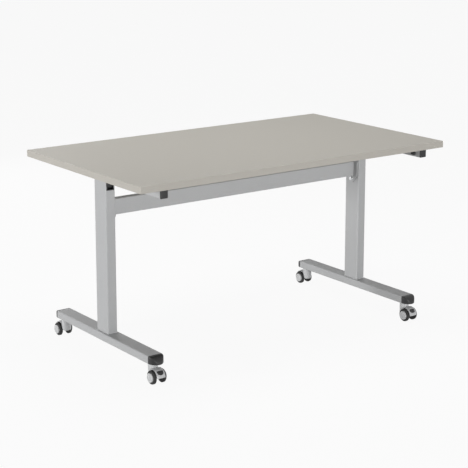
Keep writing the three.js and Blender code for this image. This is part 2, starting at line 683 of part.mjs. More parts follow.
// Assembly
for (const [end, side] of [["left", -1], ["right", 1]]) {
  const leg = new THREE.Group();
  leg.position.set(side * LEG_X, 0, 0);
  table.add(leg);

  add(leg, `bearer_${end}`, bearer(side), SILVER);
  for (const [place, way] of [["front", -1], ["rear", 1]]) {
    const node = add(leg, `bearer_cap_${place}_${end}`, bearerCap(), BLACK_PLASTIC);
    node.position.set(0, (way * ARM_LENGTH) / 2, ARM_MID);
    node.rotation.z = way > 0 ? Math.PI : 0;
  }
  add(leg, `hinge_lug_${end}`, hingeLug(), BLACK_STEEL);
  add(leg, `latch_bolt_${end}`, latchBolt(), ZINC);
  add(leg, `latch_guide_${end}`, latchGuide(), BLACK_PLASTIC);
  add(leg, `latch_trigger_${end}`, trigger(side), BLACK_PLASTIC);

  add(leg, `column_${end}`, column(side), SILVER);
  add(leg, `pivot_block_${end}`, pivotBlock(), BLACK_PLASTIC);
  add(leg, `pivot_pin_${end}`, pivotPin(), ZINC);
  add(leg, `latch_keeper_${end}`, keeper(), ZINC);
  add(leg, `foot_${end}`, foot(), SILVER);
  for (const [place, way] of [["front", -1], ["rear", 1]]) {
    const node = add(leg, `foot_cap_${place}_${end}`, toeCap(), BLACK_PLASTIC);
    node.position.set(0, (way * FOOT_LENGTH) / 2, FOOT_BOTTOM + FOOT_HEIGHT / 2);
    node.rotation.z = way > 0 ? Math.PI : 0;
  }
  const plate = add(leg, `beam_plate_${end}`, endPlate(), SILVER);
  plate.position.x = -side * (COLUMN_WIDTH / 2 + FIT + PLATE_THICK / 2);
  add(leg, `beam_bolt_${end}`, plateBolt(side), ZINC);

  for (const [place, way] of [["front", -1], ["rear", 1]]) {
    const castor = new THREE.Group();
    castor.position.set(0, way * STEM_Y, 0);
    castor.rotation.z = way > 0 ? Math.PI : 0;
    leg.add(castor);
    const key = `${place}_${end}`;
    add(castor, `castor_body_${key}`, castorBody(), GREY_PLASTIC);
    add(castor, `brake_lever_${key}`, brakeLever(), BLACK_PLASTIC);
    for (const [which, turn] of [["a", Math.PI], ["b", 0]]) {
      const wheel = new THREE.Group();
      wheel.position.set(0, -TRAIL, WHEEL_RADIUS);
      wheel.rotation.z = turn;
      castor.add(wheel);
      add(wheel, `wheel_hub_${which}_${key}`, hub(), GREY_PLASTIC);
      add(wheel, `wheel_tyre_${which}_${key}`, tyre(), RUBBER);
    }
  }
}
add(table, "cross_beam", beam(), SILVER);

export default table;
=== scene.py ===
# %% [markdown]
# A flip top training table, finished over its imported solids. The solids already hold every size, joint and
# place. This lesson dresses them: most visible solids are replaced by a finer mesh of the same size, and
# every surface gets a finish built from nodes. Everything is in metres, with the floor at z = 0 and the
# seated side of the table towards -Y.

# %% Load the fixed frame
import json
import math

import bmesh
import bpy
from mathutils import Matrix, Vector


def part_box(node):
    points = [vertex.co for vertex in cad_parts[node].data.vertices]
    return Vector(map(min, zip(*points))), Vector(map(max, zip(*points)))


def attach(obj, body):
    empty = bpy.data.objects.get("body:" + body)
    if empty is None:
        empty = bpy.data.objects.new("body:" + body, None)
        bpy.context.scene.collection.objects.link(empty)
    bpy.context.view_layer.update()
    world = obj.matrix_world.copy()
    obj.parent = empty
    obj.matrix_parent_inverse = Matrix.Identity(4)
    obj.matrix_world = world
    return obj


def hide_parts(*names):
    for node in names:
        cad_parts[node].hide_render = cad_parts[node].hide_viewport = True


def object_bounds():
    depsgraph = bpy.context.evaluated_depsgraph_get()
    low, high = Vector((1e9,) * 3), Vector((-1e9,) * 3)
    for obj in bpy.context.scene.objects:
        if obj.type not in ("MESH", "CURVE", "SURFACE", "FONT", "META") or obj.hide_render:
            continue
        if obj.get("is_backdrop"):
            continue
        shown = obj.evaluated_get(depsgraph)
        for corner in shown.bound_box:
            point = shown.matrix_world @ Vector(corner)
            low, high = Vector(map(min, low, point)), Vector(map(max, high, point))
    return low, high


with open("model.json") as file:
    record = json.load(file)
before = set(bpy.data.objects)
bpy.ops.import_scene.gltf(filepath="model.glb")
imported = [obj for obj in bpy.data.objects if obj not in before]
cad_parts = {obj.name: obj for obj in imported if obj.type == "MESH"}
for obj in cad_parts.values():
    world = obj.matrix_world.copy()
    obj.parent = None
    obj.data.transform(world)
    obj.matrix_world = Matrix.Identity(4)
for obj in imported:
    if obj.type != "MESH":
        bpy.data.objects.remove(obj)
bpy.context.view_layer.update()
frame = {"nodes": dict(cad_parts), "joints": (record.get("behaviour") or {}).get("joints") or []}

MM = 0.001
ENDS = {"left": -1, "right": 1}
PLACES = {"front": -1, "rear": 1}


def neat(values):
    return [round(value, 4) for value in values]


# %% [markdown]
# Finishes are read off the object in plain 0 to 255 colours, so a small helper turns them into the linear
# values that shaders use.

# %% Colours
def colour(red, green, blue):
    def linear(value):
        share = value / 255
        return share / 12.92 if share <= 0.04045 else ((share + 0.055) / 1.055) ** 2.4

    return linear(red), linear(green), linear(blue), 1.0


print("a grey of 128 is", round(colour(128, 128, 128)[0], 3), "in linear light")

# %% [markdown]
# Each finish starts from the same few building blocks: a noise in object space, a blend of two colours, a
# spread of values and a shallow bump. Object space is in metres, so a noise scale of 1000 gives grains of
# about a millimetre whatever the piece's size.

# %% Building blocks of a finish
EVEN = (1, 1, 1)


def start_finish(name):
    material = bpy.data.materials.new(name)
    material.use_nodes = True
    return material, material.node_tree, material.node_tree.nodes["Principled BSDF"]


def grain(tree, scale, detail=2.0, stretch=EVEN):
    coordinates = tree.nodes.new("ShaderNodeTexCoord")
    mapping = tree.nodes.new("ShaderNodeMapping")
    mapping.inputs["Scale"].default_value = stretch
    noise = tree.nodes.new("ShaderNodeTexNoise")
    noise.inputs["Scale"].default_value = scale
    noise.inputs["Detail"].default_value = detail
    tree.links.new(coordinates.outputs["Object"], mapping.inputs["Vector"])
    tree.links.new(mapping.outputs["Vector"], noise.inputs["Vector"])
    return noise.outputs["Fac"]


def spread(tree, source, low, high, from_low=0.3, from_high=0.7):
    node = tree.nodes.new("ShaderNodeMapRange")
    node.inputs["From Min"].default_value = from_low
    node.inputs["From Max"].default_value = from_high
    node.inputs["To Min"].default_value = low
    node.inputs["To Max"].default_value = high
    tree.links.new(source, node.inputs["Value"])
    return node.outputs["Result"]


def blend(tree, factor, first, second):
    node = tree.nodes.new("ShaderNodeMix")
    node.data_type = "RGBA"
    tree.links.new(factor, node.inputs[0])
    for socket, value in ((node.inputs[6], first), (node.inputs[7], second)):
        if isinstance(value, tuple):
            socket.default_value = value
        else:
            tree.links.new(value, socket)
    return node.outputs[2]


def bump(tree, shader, height, depth):
    node = tree.nodes.new("ShaderNodeBump")
    node.inputs["Strength"].default_value = 1.0
    node.inputs["Distance"].default_value = depth
    tree.links.new(height, node.inputs["Height"])
    tree.links.new(node.outputs["Normal"], shader.inputs["Normal"])


print("a grain of a millimetre has the noise scale", 1 / MM)

# %% [markdown]
# The board is melamine-faced: a warm stone grey with a pearled press texture that breaks up reflections.
# The plastic band round its edge is dyed to match, but it is scraped along its length after gluing, so its
# grain is stretched along the table and stays fine across the edge. One function makes these and the other
# plain finishes: two close colours, mottled at a fine and a broad scale, with roughness and bump from the
# fine grain.

# %% Board and edge finishes
def dressed(name, dark, light, fine, broad, rough, depth, metallic=0.0, specular=0.5, stretch=EVEN):
    """A finish with two close colours mottled at a fine and a broad scale."""
    material, tree, shader = start_finish(name)
    fine_grain = grain(tree, fine, 2.0, stretch)
    broad_grain = grain(tree, broad, 3.0)
    near = blend(tree, spread(tree, fine_grain, 0.0, 1.0), dark, light)
    between = tuple((a + b) / 2 for a, b in zip(dark, light))
    mottled = blend(tree, spread(tree, broad_grain, 0.0, 0.5), near, between)
    tree.links.new(mottled, shader.inputs["Base Color"])
    tree.links.new(spread(tree, fine_grain, *rough), shader.inputs["Roughness"])
    shader.inputs["Metallic"].default_value = metallic
    shader.inputs["Specular IOR Level"].default_value = specular
    bump(tree, shader, fine_grain, depth)
    return material


laminate = dressed(
    "stone_laminate", colour(184, 180, 171), colour(190, 186, 177),
    fine=1400, broad=5, rough=(0.5, 0.6), depth=0.03 * MM, specular=0.35,
)
edging = dressed(
    "edge_plastic", colour(187, 183, 175), colour(193, 189, 181),
    fine=900, broad=7, rough=(0.42, 0.52), depth=0.02 * MM, specular=0.4, stretch=(0.02, 0.02, 2.0),
)
print("finishes", laminate.name, edging.name)

# %% [markdown]
# The steel is powder coated in aluminium silver. The coat has two scales that the eye knows: tiny bright
# flakes, and the slow waves of orange peel that the powder leaves as it melts. The flakes vary colour and
# roughness, and the waves go into the bump. A low metallic share keeps the coat looking like paint and not
# like bare metal.

# %% Silver powder coat
def powder_coat():
    material, tree, shader = start_finish("silver_powder_coat")
    flakes = grain(tree, 2600, 1.0)
    clouds = grain(tree, 9, 3.0)
    waves = grain(tree, 260, 2.0)
    base, flake, cloud = colour(180, 181, 182), colour(197, 198, 199), colour(186, 187, 188)
    flaked = blend(tree, spread(tree, flakes, 0.0, 1.0, 0.35, 0.75), base, flake)
    even = blend(tree, spread(tree, clouds, 0.0, 0.35), flaked, cloud)
    tree.links.new(even, shader.inputs["Base Color"])
    tree.links.new(spread(tree, flakes, 0.5, 0.38), shader.inputs["Roughness"])
    shader.inputs["Metallic"].default_value = 0.08
    shader.inputs["Specular IOR Level"].default_value = 0.25
    bump(tree, shader, waves, 0.06 * MM)
    return material


silver = powder_coat()
print("finish", silver.name)

# %% [markdown]
# The caps, levers and pads are black moulded plastic with a spark-eroded grain. Tyres are a softer, duller
# black that picks up floor dust, so their two blacks lie further apart. The castor housings and wheel discs
# are light grey plastic, smoother than the caps. Bolts and pins are zinc plated: metal, bright, with a
# faint cloud in the plating.

# %% Plastics, rubber and zinc
black_plastic = dressed(
    "moulded_black", colour(22, 22, 23), colour(33, 33, 34),
    fine=1500, broad=30, rough=(0.36, 0.5), depth=0.04 * MM, specular=0.45,
)
tyre_rubber = dressed(
    "tyre_rubber", colour(26, 26, 26), colour(42, 42, 42),
    fine=900, broad=60, rough=(0.55, 0.72), depth=0.04 * MM, specular=0.35,
)
castor_grey = dressed(
    "castor_grey", colour(202, 203, 204), colour(211, 212, 213),
    fine=1200, broad=25, rough=(0.34, 0.44), depth=0.02 * MM, specular=0.5,
)
black_steel = dressed(
    "black_enamel", colour(30, 30, 31), colour(42, 42, 43),
    fine=700, broad=40, rough=(0.4, 0.5), depth=0.03 * MM, metallic=0.2,
)
zinc = dressed(
    "bright_zinc", colour(205, 208, 212), colour(226, 227, 226),
    fine=500, broad=90, rough=(0.2, 0.32), depth=0.01 * MM, metallic=1.0,
)
print("finishes", [m.name for m in (black_plastic, tyre_rubber, castor_grey, black_steel, zinc)])

# %% [markdown]
# Every new piece leaves its bmesh the same way: doubles merged, normals turned outwards, smooth shading
# with hard edges kept by angle, and weighted normals so that large flat walls stay flat beside narrow
# rounds. It then rides on its body and hides the solid that it stands for. Places and sizes are asked of
# the frame, so that the new piece follows its solid.

# %% Turn a bmesh into a riding piece
MERGE = 0.002 * MM
SHARP = 38


def make_piece(bm, name, finish, body, replaced=(), wall=None, sharp=SHARP):
    bmesh.ops.remove_doubles(bm, verts=bm.verts, dist=MERGE)
    if not wall:
        bmesh.ops.recalc_face_normals(bm, faces=bm.faces)
    mesh = bpy.data.meshes.new(name)
    bm.to_mesh(mesh)
    bm.free()
    mesh.materials.append(finish)
    mesh.shade_smooth()
    mesh.set_sharp_from_angle(angle=math.radians(sharp))
    piece = bpy.data.objects.new(name, mesh)
    bpy.context.scene.collection.objects.link(piece)
    if wall:
        inner_wall = piece.modifiers.new("wall", "SOLIDIFY")
        inner_wall.thickness = wall
        inner_wall.offset = -1.0
        inner_wall.use_even_offset = True
    flats = piece.modifiers.new("flat_walls", "WEIGHTED_NORMAL")
    flats.keep_sharp = True
    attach(piece, body)
    if replaced:
        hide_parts(*replaced)
    return piece


def place(bm, where=(0, 0, 0), turn=0.0, axis="Z"):
    matrix = Matrix.Translation(where) @ Matrix.Rotation(math.radians(turn), 4, axis)
    bmesh.ops.transform(bm, matrix=matrix, verts=bm.verts)


def middle(node):
    low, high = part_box(node)
    return (low + high) / 2, high - low


def joint(name):
    return next(j for j in frame["joints"] if j["name"] == name)


# %% [markdown]
# Most of the table is rounded rectangles: tubes, caps, the board and its band. The grid primitive with one
# segment is a single square; a vertex bevel on its corners gives true arcs. Deleting the face and extruding
# the rim upwards makes the skin of a tube, and a Solidify modifier gives it its wall later. The same bevel,
# on edges, softens the rims of all moulded and pressed pieces.

# %% Rounded rectangles and tubes
VERT, FACE = bmesh.types.BMVert, bmesh.types.BMFace


def soften(bm, geom, offset, segments, affect="EDGES"):
    bmesh.ops.bevel(
        bm, geom=list(geom), offset=offset, offset_type="OFFSET", affect=affect, segments=segments,
        profile=0.5, material=-1,
    )


def rounded_face(bm, width, height, radius, arcs=6):
    made = bmesh.ops.create_grid(bm, x_segments=1, y_segments=1, size=0.5)
    bmesh.ops.scale(bm, vec=(width, height, 1), verts=made["verts"])
    soften(bm, made["verts"], radius, arcs, "VERTICES")
    return bm.faces[:]


def rims(faces):
    return [e for f in faces for e in f.edges]


def only(kind, parts):
    return [part for part in parts if isinstance(part, kind)]


def raise_edges(bm, edges, height):
    grown = bmesh.ops.extrude_edge_only(bm, edges=edges)["geom"]
    bmesh.ops.translate(bm, vec=(0, 0, height), verts=only(VERT, grown))


def raise_faces(bm, faces, height):
    grown = bmesh.ops.extrude_face_region(bm, geom=faces)["geom"]
    bmesh.ops.translate(bm, vec=(0, 0, height), verts=only(VERT, grown))
    return only(FACE, grown)


def tube_skin(width, height, radius, length):
    bm = bmesh.new()
    faces = rounded_face(bm, width, height, radius)
    bmesh.ops.delete(bm, geom=faces, context="FACES_ONLY")
    raise_edges(bm, bm.edges[:], length)
    bmesh.ops.translate(bm, vec=(0, 0, -length / 2), verts=bm.verts)
    bmesh.ops.recalc_face_normals(bm, faces=bm.faces)
    return bm


def count_faces(bm):
    """Counts the faces of a trial piece and frees it."""
    count = len(bm.faces)
    bm.free()
    return count


print("faces of a tube's skin", count_faces(tube_skin(30 * MM, 30 * MM, 3 * MM, 100 * MM)))

# %% [markdown]
# Slots, windows and the open column head are cut in a skin while it is still one flat wall. A Boolean would
# leave stray corners in such a thin sheet, so the wall is split along the four sides of the window and the
# part between them is deleted.

# %% Windows in a wall
TOUCH = 0.01 * MM
NEAR = 0.001 * MM
SAME_WAY = 0.99


def cut_window(bm, facing, low, high):
    """Opens a rectangular window in the flat wall that faces one way."""
    facing = Vector(facing)
    for axis in range(3):
        if abs(facing[axis]) > 0.5:
            continue
        normal = Vector((0, 0, 0))
        normal[axis] = 1
        for bound in (low[axis], high[axis]):
            bm.normal_update()
            wall = [f for f in bm.faces if f.normal.dot(facing) > SAME_WAY]
            parts = {e for f in wall for e in f.edges} | {v for f in wall for v in f.verts}
            bmesh.ops.bisect_plane(
                bm, geom=[*wall, *parts], dist=TOUCH, plane_co=normal * bound, plane_no=normal,
            )
    bm.normal_update()
    inside = []
    for face in bm.faces:
        centre = face.calc_center_median()
        within = all(low[a] - NEAR <= centre[a] <= high[a] + NEAR for a in range(3))
        if face.normal.dot(facing) > SAME_WAY and within:
            inside.append(face)
    bmesh.ops.delete(bm, geom=inside, context="FACES")


trial = tube_skin(30 * MM, 30 * MM, 3 * MM, 100 * MM)
solid_wall = len(trial.faces)
cut_window(trial, (1, 0, 0), (0, -5 * MM, -5 * MM), (20 * MM, 5 * MM, 5 * MM))
print("faces before and after a window", solid_wall, count_faces(trial))

# %% [markdown]
# The top is a chipboard panel with melamine on both faces, and a 2 mm plastic band glued round it. The
# panel is a rounded face raised to its thickness, a glue line smaller than the inside of the band.

# %% Board
BAND = 2 * MM
BOARD_CORNER = 3 * MM
GLUE_LINE = 0.05 * MM

band_low, band_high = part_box("edge_band")
band_size = band_high - band_low

board = bmesh.new()
trim = 2 * (BAND + GLUE_LINE)
panel = rounded_face(board, band_size.x - trim, band_size.y - trim, BOARD_CORNER - BAND, 3)
raise_faces(board, panel, band_size.z)
place(board, (0, 0, band_low.z))
make_piece(board, "top_board", laminate, "top", ["table_top"])
print("board", neat(band_size))

# %% [markdown]
# The band is the same outline, inset by its own thickness, with the middle removed. Its outer arrises are
# rounded, as the trimming cutter leaves them: these are the level edges of the walls that face away from
# the middle.

# %% Edge band
ARRIS = 1.2 * MM


def outward(face):
    centre = face.calc_center_median()
    return abs(face.normal.z) < 0.5 and face.normal.x * centre.x + face.normal.y * centre.y > 0


band = bmesh.new()
ring = rounded_face(band, band_size.x, band_size.y, BOARD_CORNER)
bmesh.ops.inset_region(band, faces=ring, thickness=BAND, use_even_offset=True, use_boundary=True)
bmesh.ops.delete(band, geom=ring, context="FACES")
raise_faces(band, band.faces[:], band_size.z)
place(band, (0, 0, band_low.z))
bmesh.ops.recalc_face_normals(band, faces=band.faces)
arrises = [
    e for e in band.edges
    if abs(e.verts[0].co.z - e.verts[1].co.z) < NEAR and any(outward(f) for f in e.link_faces)
]
soften(band, arrises, ARRIS, 4)
make_piece(band, "edge_band_strip", edging, "top", ["edge_band"], sharp=50)
print("rounded edges of the band", len(arrises))

# %% [markdown]
# The two bearers under the board are square tubes. Each has a short slot in its inward wall, where the neck
# of the finger trigger slides, and a slot in its underside for the keeper that stands up from the column.
# That slot is longer than the keeper, because the keeper swings through it as the top tilts.

# %% Bearer tubes
TUBE_ROUND = 3 * MM
TUBE_WALL = 2 * MM
SLOT_SLACK = 0.4 * MM
TRIGGER_NECK = 8 * MM
NECK_RISE = 6 * MM
KEEPER_SLACK = 1 * MM
KEEPER_SWEEP = 13 * MM

latch_travel = joint("latch_left_slide")["range_m"][1]
for end, side in ENDS.items():
    centre, size = middle(f"bearer_{end}")
    trigger, _ = middle(f"latch_trigger_{end}")
    keeper_low, keeper_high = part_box(f"latch_keeper_{end}")
    tube = tube_skin(size.x, size.z, TUBE_ROUND, size.y)
    place(tube, centre, -90, "X")
    bmesh.ops.recalc_face_normals(tube, faces=tube.faces)
    reach = TRIGGER_NECK / 2 + SLOT_SLACK
    rise = NECK_RISE / 2 + SLOT_SLACK
    cut_window(
        tube, (-side, 0, 0),
        (centre.x - size.x, trigger.y - reach, centre.z - rise),
        (centre.x + size.x, trigger.y + reach + latch_travel, centre.z + rise),
    )
    cut_window(
        tube, (0, 0, -1),
        (keeper_low.x - KEEPER_SLACK, keeper_low.y - KEEPER_SLACK, centre.z - size.z),
        (keeper_high.x + KEEPER_SLACK, keeper_high.y + KEEPER_SWEEP, centre.z),
    )
    make_piece(tube, f"bearer_tube_{end}", silver, "top", [f"bearer_{end}"], TUBE_WALL)
print("bearers", neat(size))

# %% [markdown]
# Black caps close the bearers and the feet. A cap is one moulding: a head outside, as large as the tube,
# and a plug that fits inside the bore, made here by insetting the back face by the tube's wall and pulling
# it inwards. A bearer's cap is flat: its outer rim is bevelled round and its face is pushed out to a slight
# crown.

# %% Caps of the bearers
CAP_SOFT = 1.6 * MM
CAP_CROWN = 0.4 * MM
CROWN_RINGS = ((0.8, 0.55), (0.65, 0.3), (0.4, 0.15))
CAP_PLUG = 11 * MM
PLUG_FIT = 0.3 * MM


def next_ring(bm, face, share, lift, space=Matrix()):
    """Replaces a face by a smaller copy of itself, further out, and a band of faces between the two."""
    grown = bmesh.ops.extrude_face_region(bm, geom=[face])["geom"]
    smaller = only(VERT, grown)
    bmesh.ops.scale(bm, vec=(share, share, 1), space=space, verts=smaller)
    bmesh.ops.translate(bm, vec=(0, 0, lift), verts=smaller)
    return only(FACE, grown)[0]


def pull_plug(bm, wall, plug):
    """Draws the middle of the lowest face down into a tube's bore."""
    bm.normal_update()
    back = min(bm.faces, key=lambda f: f.calc_center_median().z)
    bmesh.ops.inset_region(bm, faces=[back], thickness=wall, use_even_offset=True)
    next_ring(bm, back, 1, -plug)
    bmesh.ops.delete(bm, geom=[back], context="FACES_ONLY")


def bearer_cap(width, height, proud):
    bm = bmesh.new()
    front = raise_faces(bm, rounded_face(bm, width, height, TUBE_ROUND), proud - CAP_CROWN)
    bmesh.ops.recalc_face_normals(bm, faces=bm.faces)
    soften(bm, rims(front), CAP_SOFT, 6)
    face = max(bm.faces, key=lambda f: f.calc_center_median().z)
    for share, lift in CROWN_RINGS:
        smaller = next_ring(bm, face, share, CAP_CROWN * lift)
        bmesh.ops.delete(bm, geom=[face], context="FACES_ONLY")
        face = smaller
    pull_plug(bm, TUBE_WALL + PLUG_FIT, CAP_PLUG)
    return bm


print("cap crown", CAP_CROWN, "in", len(CROWN_RINGS), "rings")

# %% [markdown]
# A foot ends in a toe cap: half round seen from above, a quarter round seen from the side, flat beneath. It
# is lofted like a sleeve drawn in: the foot's outline is extruded in short steps, and at each step it
# shrinks by the cosine of the same angle towards the middle of its lower edge, while the step outwards
# follows the sine.

# %% Toe caps of the feet
FOOT_ROUND = 5 * MM
FOOT_WALL = 2.5 * MM
TOE_STEPS = 24
TOE_CLOSE = 88
TOE_PLUG = 6 * MM


def toe_cap(width, height, proud):
    bm = bmesh.new()
    face = rounded_face(bm, width, height, FOOT_ROUND, 8)[0]
    lower_edge = Matrix.Translation((0, height / 2, 0))
    share, out = 1.0, 0.0
    for step in range(1, TOE_STEPS + 1):
        turn = math.radians(TOE_CLOSE * step / TOE_STEPS)
        reach = proud * math.sin(turn) / math.sin(math.radians(TOE_CLOSE))
        smaller = next_ring(bm, face, math.cos(turn) / share, reach - out, lower_edge)
        if step > 1:
            bmesh.ops.delete(bm, geom=[face], context="FACES_ONLY")
        face, share, out = smaller, math.cos(turn), reach
    pull_plug(bm, FOOT_WALL + PLUG_FIT, TOE_PLUG)
    return bm


print("toe cap rings", TOE_STEPS)

# %% [markdown]
# All eight caps are set by one loop. Each is modelled standing on z = 0, turned to look along the tube and
# seated on the tube's end, a hair away from it, so that the joint shows as a fine dark line. Its reach
# comes from its solid.

# %% Set the caps in the tubes
CAP_SEAT = 0.15 * MM
CAPS = {"bearer": (bearer_cap, "top"), "foot": (toe_cap, "frame")}
for kind, (shape, body) in CAPS.items():
    for end in ENDS:
        tube_middle, tube_size = middle(f"{kind}_{end}")
        for where, way in PLACES.items():
            node = f"{kind}_cap_{where}_{end}"
            low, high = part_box(node)
            tip = low.y if way < 0 else high.y
            seat = tube_middle.y + way * (tube_size.y / 2 + CAP_SEAT)
            cap = shape(tube_size.x, tube_size.z, abs(tip - seat))
            place(cap, turn=90, axis="X")
            place(cap, (tube_middle.x, seat, tube_middle.z), 180 if way > 0 else 0, "Z")
            make_piece(cap, f"{kind}_end_plug_{where}_{end}", black_plastic, body, [node])
print("caps", len(CAPS) * len(ENDS) * len(PLACES))

# %% [markdown]
# The finger trigger is a small black pad on the inward side of each bearer, near the front where a hand
# reaches under the edge. It has softened edges, three raised grip ribs and a neck through the slot. It
# draws the slide bolt back.

# %% Finger triggers
PAD_ROUND = 5 * MM
PAD_SOFT = 1.6 * MM
PAD_SEAT = 0.2 * MM
RIB_LIFT = 0.7 * MM
RIB_LONG = 9 * MM
RIB_WIDE = 1.6 * MM
RIB_STEP = 4.2 * MM
RIB_SOFT = 0.45 * MM
NECK_REACH = 5 * MM
NECK_ROOT = 1 * MM

for end, side in ENDS.items():
    low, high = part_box(f"latch_trigger_{end}")
    bearer_middle, bearer_size = middle(f"bearer_{end}")
    size = high - low
    face_x = bearer_size.x / 2 + PAD_SEAT
    outer_x = (bearer_middle.x - low.x) if side > 0 else (high.x - bearer_middle.x)
    pad_thick = outer_x - face_x - RIB_LIFT
    pad = bmesh.new()
    front = raise_faces(pad, rounded_face(pad, size.y, size.z, PAD_ROUND), pad_thick)
    soften(pad, rims(front), PAD_SOFT, 4)
    for step in (-1, 0, 1):
        rib = bmesh.ops.create_cube(pad, size=1.0)["verts"]
        bmesh.ops.scale(pad, vec=(RIB_WIDE, RIB_LONG, 2 * RIB_LIFT), verts=rib)
        bmesh.ops.translate(pad, vec=(step * RIB_STEP, 0, pad_thick), verts=rib)
        crest = {e for v in rib for e in v.link_edges if all(w.co.z > pad_thick for w in e.verts)}
        soften(pad, crest, RIB_SOFT, 3)
    neck = bmesh.ops.create_cube(pad, size=1.0)["verts"]
    neck_long = face_x + NECK_REACH
    bmesh.ops.scale(pad, vec=(TRIGGER_NECK, NECK_RISE, neck_long), verts=neck)
    bmesh.ops.translate(pad, vec=(0, 0, NECK_ROOT - neck_long / 2), verts=neck)
    place(pad, turn=90, axis="X")
    place(pad, turn=90, axis="Z")
    place(pad, (face_x, 0, 0))
    place(pad, turn=180 if side > 0 else 0, axis="Z")
    place(pad, (bearer_middle.x, (low.y + high.y) / 2, (low.z + high.z) / 2))
    make_piece(
        pad, f"finger_trigger_{end}", black_plastic, f"latch_{end}",
        [f"latch_trigger_{end}"],
    )
print("triggers", neat(size))

# %% [markdown]
# Bolts and castor stems pass through round holes in the tubes. A hole is made by freeing a square of the
# wall and filling the gap between its rim and a circle, which keeps the rest of the wall in a few large
# faces.

# %% Round holes in a wall
HOLE_SQUARE = 1.6
WALL_REACH = 1 * MM


def round_hole(bm, facing, centre, radius, sides=24):
    """Cuts a round hole in the flat wall that faces one way, centred on a point of that wall."""
    facing = Vector(facing)
    reach = Vector([WALL_REACH if abs(f) > 0.5 else HOLE_SQUARE * radius for f in facing])
    low, high = Vector(centre) - reach, Vector(centre) + reach
    cut_window(bm, facing, low, high)
    near = {v for v in bm.verts if all(low[a] - TOUCH <= v.co[a] <= high[a] + TOUCH for a in range(3))}
    square = [e for e in bm.edges if e.is_boundary and near.issuperset(e.verts)]
    circle = bmesh.ops.create_circle(bm, cap_ends=False, radius=radius, segments=sides)["verts"]
    turn = Vector((0, 0, 1)).rotation_difference(facing).to_matrix().to_4x4()
    bmesh.ops.transform(bm, matrix=Matrix.Translation(centre) @ turn, verts=circle)
    ring = list({e for v in circle for e in v.link_edges})
    made = only(FACE, bmesh.ops.triangle_fill(bm, use_beauty=True, edges=square + ring)["geom"])
    bm.normal_update()
    turned_in = [f for f in made if f.normal.dot(facing) < 0]
    bmesh.ops.reverse_faces(bm, faces=turned_in)
    return len(made)


trial = tube_skin(30 * MM, 30 * MM, 3 * MM, 100 * MM)
print("faces round a hole", round_hole(trial, (1, 0, 0), (15 * MM, 0, 0), 5 * MM))
trial.free()

# %% [markdown]
# The legs are inverted Ts. Each column is a deep rectangular tube whose front wall is cut away at the head,
# where the black pivot block shows and the hinge lug swings out. Each foot is a flat tube with a hole near
# each end for a castor stem, and a beam joins the two columns. All five are tube skins, which the Solidify
# modifier thickens inwards, so that the outer sizes stay those of the solids.

# %% Columns, feet and beam
COLUMN_ROUND = 5 * MM
COLUMN_WALL = 2.5 * MM
NOTCH_DEEP = 32 * MM
STEM_HOLE = 6.3 * MM
BOLT_HOLE = 4.3 * MM
BEAM_ROUND = 4 * MM

for end, side in ENDS.items():
    centre, size = middle(f"column_{end}")
    bolt, _ = middle(f"beam_bolt_{end}")
    column = tube_skin(size.x, size.y, COLUMN_ROUND, size.z)
    place(column, centre)
    head = centre.z + size.z / 2
    cut_window(
        column, (0, -1, 0),
        (centre.x - size.x, centre.y - size.y, head - NOTCH_DEEP),
        (centre.x + size.x, centre.y, head + WALL_REACH),
    )
    round_hole(column, (-side, 0, 0), (centre.x - side * size.x / 2, bolt.y, bolt.z), BOLT_HOLE)
    make_piece(column, f"column_tube_{end}", silver, "frame", [f"column_{end}"], COLUMN_WALL)

    centre, size = middle(f"foot_{end}")
    foot = tube_skin(size.x, size.z, FOOT_ROUND, size.y)
    place(foot, centre, -90, "X")
    bmesh.ops.recalc_face_normals(foot, faces=foot.faces)
    for where in PLACES:
        stem = joint(f"castor_{where}_{end}_swivel")["pos_m"]
        round_hole(foot, (0, 0, -1), (stem[0], stem[1], centre.z - size.z / 2), STEM_HOLE)
    make_piece(foot, f"foot_tube_{end}", silver, "frame", [f"foot_{end}"], FOOT_WALL)

centre, size = middle("cross_beam")
beam = tube_skin(size.z, size.y, BEAM_ROUND, size.x)
place(beam, centre, 90, "Y")
make_piece(beam, "beam_tube", silver, "frame", ["cross_beam"], TUBE_WALL)
print("beam", neat(size))

# %% [markdown]
# A plate closes each end of the beam and is bolted to the column. Below the beam it tapers to a tip that
# carries the bolt. The outline is six corners, raised to the plate's thickness, with a small round on its
# edges. The bolt is a hexagon raised from a circle of six sides, chamfered at the top, over a round washer
# face.

# %% Beam plates and bolts
PLATE_TIP = 14 * MM
PLATE_DROP = 28 * MM
PLATE_SOFT = 0.6 * MM
WASHER_ROUND = 8.5 * MM
WASHER_THICK = 1.2 * MM
WASHER_SOFT = 0.4 * MM
HEAD_SOFT = 0.8 * MM
SHANK_ROUND = 4 * MM


def disc(bm, radius, height, sides):
    """Raises a round or many-sided disc from z = 0 and returns its far face."""
    rim = bmesh.ops.create_circle(bm, cap_ends=True, radius=radius, segments=sides)["verts"]
    return raise_faces(bm, rim[0].link_faces[:], height)


